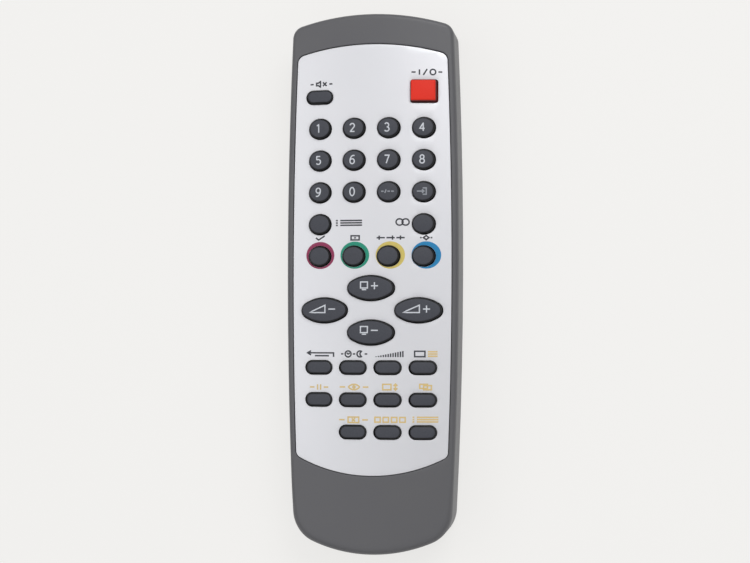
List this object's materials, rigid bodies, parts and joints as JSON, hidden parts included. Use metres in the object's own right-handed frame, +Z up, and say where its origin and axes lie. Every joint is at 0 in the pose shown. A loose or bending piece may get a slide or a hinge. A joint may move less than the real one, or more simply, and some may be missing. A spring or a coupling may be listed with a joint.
{
  "type": "television remote control",
  "caption": "Slim infrared remote control with a bowed silver face plate, rubber keys, a red power key and a sliding battery cover.",
  "frame": {"origin": "middle of the bounding box on the surface that the back lies on", "axes": "+Y towards the head end with the emitter, +X to the right as the face is read, +Z up through the face"},
  "size_m": [0.0546, 0.1701, 0.0233],
  "materials": {
    "case_plastic": "satin",
    "plate_silver": "satin",
    "key_rubber": "matte",
    "power_rubber": "matte",
    "board": "matte",
    "emitter": "gloss",
    "component_black": "matte",
    "component_orange": "satin",
    "component_blue": "satin",
    "component_tan": "satin",
    "cell_wrap": "gloss",
    "spring_steel": "satin",
    "screw_steel": "satin"
  },
  "bodies": {
    "case": {"front_case": "case_plastic", "face_plate": "plate_silver", "rear_case": "case_plastic", "keypad_mat": "key_rubber", "circuit_board": "board", "infrared_led": "emitter", "controller_chip": "component_black", "resonator": "component_orange", "capacitor": "component_blue", "driver_transistor": "component_black", "resistors": "component_tan", "battery_1": "cell_wrap", "battery_2": "cell_wrap", "battery_contact_positive": "spring_steel", "battery_contact_negative": "spring_steel", "battery_contact_link": "spring_steel", "case_screws": "screw_steel"},
    "cover": {"battery_cover": "case_plastic"},
    "key_power": {"key_power": "power_rubber"},
    "key_mute": {"key_mute": "key_rubber"},
    "key_1": {"key_1": "key_rubber"},
    "key_2": {"key_2": "key_rubber"},
    "key_3": {"key_3": "key_rubber"},
    "key_4": {"key_4": "key_rubber"},
    "key_5": {"key_5": "key_rubber"},
    "key_6": {"key_6": "key_rubber"},
    "key_7": {"key_7": "key_rubber"},
    "key_8": {"key_8": "key_rubber"},
    "key_9": {"key_9": "key_rubber"},
    "key_0": {"key_0": "key_rubber"},
    "key_two_digit": {"key_two_digit": "key_rubber"},
    "key_source": {"key_source": "key_rubber"},
    "key_menu": {"key_menu": "key_rubber"},
    "key_sound": {"key_sound": "key_rubber"},
    "key_red": {"key_red": "key_rubber"},
    "key_green": {"key_green": "key_rubber"},
    "key_yellow": {"key_yellow": "key_rubber"},
    "key_blue": {"key_blue": "key_rubber"},
    "key_program_up": {"key_program_up": "key_rubber"},
    "key_program_down": {"key_program_down": "key_rubber"},
    "key_volume_down": {"key_volume_down": "key_rubber"},
    "key_volume_up": {"key_volume_up": "key_rubber"},
    "key_last": {"key_last": "key_rubber"},
    "key_timer": {"key_timer": "key_rubber"},
    "key_info": {"key_info": "key_rubber"},
    "key_teletext": {"key_teletext": "key_rubber"},
    "key_hold": {"key_hold": "key_rubber"},
    "key_show": {"key_show": "key_rubber"},
    "key_zoom": {"key_zoom": "key_rubber"},
    "key_overlay": {"key_overlay": "key_rubber"},
    "key_clear": {"key_clear": "key_rubber"},
    "key_subpage": {"key_subpage": "key_rubber"},
    "key_contents": {"key_contents": "key_rubber"}
  },
  "joints": [
    {"name": "cover_slide", "type": "slide", "parent": "case", "child": "cover", "axis": [0, -1, 0], "range_m": [0, 0.072]},
    {"name": "key_power_press", "type": "slide", "parent": "case", "child": "key_power", "axis": [0, 0, -1], "range_m": [0, 0.001], "stiffness_N_per_m": 800, "springref_m": -0.0004},
    {"name": "key_mute_press", "type": "slide", "parent": "case", "child": "key_mute", "axis": [0, 0, -1], "range_m": [0, 0.001], "stiffness_N_per_m": 800, "springref_m": -0.0004},
    {"name": "key_1_press", "type": "slide", "parent": "case", "child": "key_1", "axis": [0, 0, -1], "range_m": [0, 0.001], "stiffness_N_per_m": 800, "springref_m": -0.0004},
    {"name": "key_2_press", "type": "slide", "parent": "case", "child": "key_2", "axis": [0, 0, -1], "range_m": [0, 0.001], "stiffness_N_per_m": 800, "springref_m": -0.0004},
    {"name": "key_3_press", "type": "slide", "parent": "case", "child": "key_3", "axis": [0, 0, -1], "range_m": [0, 0.001], "stiffness_N_per_m": 800, "springref_m": -0.0004},
    {"name": "key_4_press", "type": "slide", "parent": "case", "child": "key_4", "axis": [0, 0, -1], "range_m": [0, 0.001], "stiffness_N_per_m": 800, "springref_m": -0.0004},
    {"name": "key_5_press", "type": "slide", "parent": "case", "child": "key_5", "axis": [0, 0, -1], "range_m": [0, 0.001], "stiffness_N_per_m": 800, "springref_m": -0.0004},
    {"name": "key_6_press", "type": "slide", "parent": "case", "child": "key_6", "axis": [0, 0, -1], "range_m": [0, 0.001], "stiffness_N_per_m": 800, "springref_m": -0.0004},
    {"name": "key_7_press", "type": "slide", "parent": "case", "child": "key_7", "axis": [0, 0, -1], "range_m": [0, 0.001], "stiffness_N_per_m": 800, "springref_m": -0.0004},
    {"name": "key_8_press", "type": "slide", "parent": "case", "child": "key_8", "axis": [0, 0, -1], "range_m": [0, 0.001], "stiffness_N_per_m": 800, "springref_m": -0.0004},
    {"name": "key_9_press", "type": "slide", "parent": "case", "child": "key_9", "axis": [0, 0, -1], "range_m": [0, 0.001], "stiffness_N_per_m": 800, "springref_m": -0.0004},
    {"name": "key_0_press", "type": "slide", "parent": "case", "child": "key_0", "axis": [0, 0, -1], "range_m": [0, 0.001], "stiffness_N_per_m": 800, "springref_m": -0.0004},
    {"name": "key_two_digit_press", "type": "slide", "parent": "case", "child": "key_two_digit", "axis": [0, 0, -1], "range_m": [0, 0.001], "stiffness_N_per_m": 800, "springref_m": -0.0004},
    {"name": "key_source_press", "type": "slide", "parent": "case", "child": "key_source", "axis": [0, 0, -1], "range_m": [0, 0.001], "stiffness_N_per_m": 800, "springref_m": -0.0004},
    {"name": "key_menu_press", "type": "slide", "parent": "case", "child": "key_menu", "axis": [0, 0, -1], "range_m": [0, 0.001], "stiffness_N_per_m": 800, "springref_m": -0.0004},
    {"name": "key_sound_press", "type": "slide", "parent": "case", "child": "key_sound", "axis": [0, 0, -1], "range_m": [0, 0.001], "stiffness_N_per_m": 800, "springref_m": -0.0004},
    {"name": "key_red_press", "type": "slide", "parent": "case", "child": "key_red", "axis": [0, 0, -1], "range_m": [0, 0.001], "stiffness_N_per_m": 800, "springref_m": -0.0004},
    {"name": "key_green_press", "type": "slide", "parent": "case", "child": "key_green", "axis": [0, 0, -1], "range_m": [0, 0.001], "stiffness_N_per_m": 800, "springref_m": -0.0004},
    {"name": "key_yellow_press", "type": "slide", "parent": "case", "child": "key_yellow", "axis": [0, 0, -1], "range_m": [0, 0.001], "stiffness_N_per_m": 800, "springref_m": -0.0004},
    {"name": "key_blue_press", "type": "slide", "parent": "case", "child": "key_blue", "axis": [0, 0, -1], "range_m": [0, 0.001], "stiffness_N_per_m": 800, "springref_m": -0.0004},
    {"name": "key_program_up_press", "type": "slide", "parent": "case", "child": "key_program_up", "axis": [0, 0, -1], "range_m": [0, 0.001], "stiffness_N_per_m": 800, "springref_m": -0.0004},
    {"name": "key_program_down_press", "type": "slide", "parent": "case", "child": "key_program_down", "axis": [0, 0, -1], "range_m": [0, 0.001], "stiffness_N_per_m": 800, "springref_m": -0.0004},
    {"name": "key_volume_down_press", "type": "slide", "parent": "case", "child": "key_volume_down", "axis": [0, 0, -1], "range_m": [0, 0.001], "stiffness_N_per_m": 800, "springref_m": -0.0004},
    {"name": "key_volume_up_press", "type": "slide", "parent": "case", "child": "key_volume_up", "axis": [0, 0, -1], "range_m": [0, 0.001], "stiffness_N_per_m": 800, "springref_m": -0.0004},
    {"name": "key_last_press", "type": "slide", "parent": "case", "child": "key_last", "axis": [0, 0, -1], "range_m": [0, 0.001], "stiffness_N_per_m": 800, "springref_m": -0.0004},
    {"name": "key_timer_press", "type": "slide", "parent": "case", "child": "key_timer", "axis": [0, 0, -1], "range_m": [0, 0.001], "stiffness_N_per_m": 800, "springref_m": -0.0004},
    {"name": "key_info_press", "type": "slide", "parent": "case", "child": "key_info", "axis": [0, 0, -1], "range_m": [0, 0.001], "stiffness_N_per_m": 800, "springref_m": -0.0004},
    {"name": "key_teletext_press", "type": "slide", "parent": "case", "child": "key_teletext", "axis": [0, 0, -1], "range_m": [0, 0.001], "stiffness_N_per_m": 800, "springref_m": -0.0004},
    {"name": "key_hold_press", "type": "slide", "parent": "case", "child": "key_hold", "axis": [0, 0, -1], "range_m": [0, 0.001], "stiffness_N_per_m": 800, "springref_m": -0.0004},
    {"name": "key_show_press", "type": "slide", "parent": "case", "child": "key_show", "axis": [0, 0, -1], "range_m": [0, 0.001], "stiffness_N_per_m": 800, "springref_m": -0.0004},
    {"name": "key_zoom_press", "type": "slide", "parent": "case", "child": "key_zoom", "axis": [0, 0, -1], "range_m": [0, 0.001], "stiffness_N_per_m": 800, "springref_m": -0.0004},
    {"name": "key_overlay_press", "type": "slide", "parent": "case", "child": "key_overlay", "axis": [0, 0, -1], "range_m": [0, 0.001], "stiffness_N_per_m": 800, "springref_m": -0.0004},
    {"name": "key_clear_press", "type": "slide", "parent": "case", "child": "key_clear", "axis": [0, 0, -1], "range_m": [0, 0.001], "stiffness_N_per_m": 800, "springref_m": -0.0004},
    {"name": "key_subpage_press", "type": "slide", "parent": "case", "child": "key_subpage", "axis": [0, 0, -1], "range_m": [0, 0.001], "stiffness_N_per_m": 800, "springref_m": -0.0004},
    {"name": "key_contents_press", "type": "slide", "parent": "case", "child": "key_contents", "axis": [0, 0, -1], "range_m": [0, 0.001], "stiffness_N_per_m": 800, "springref_m": -0.0004}
  ]
}
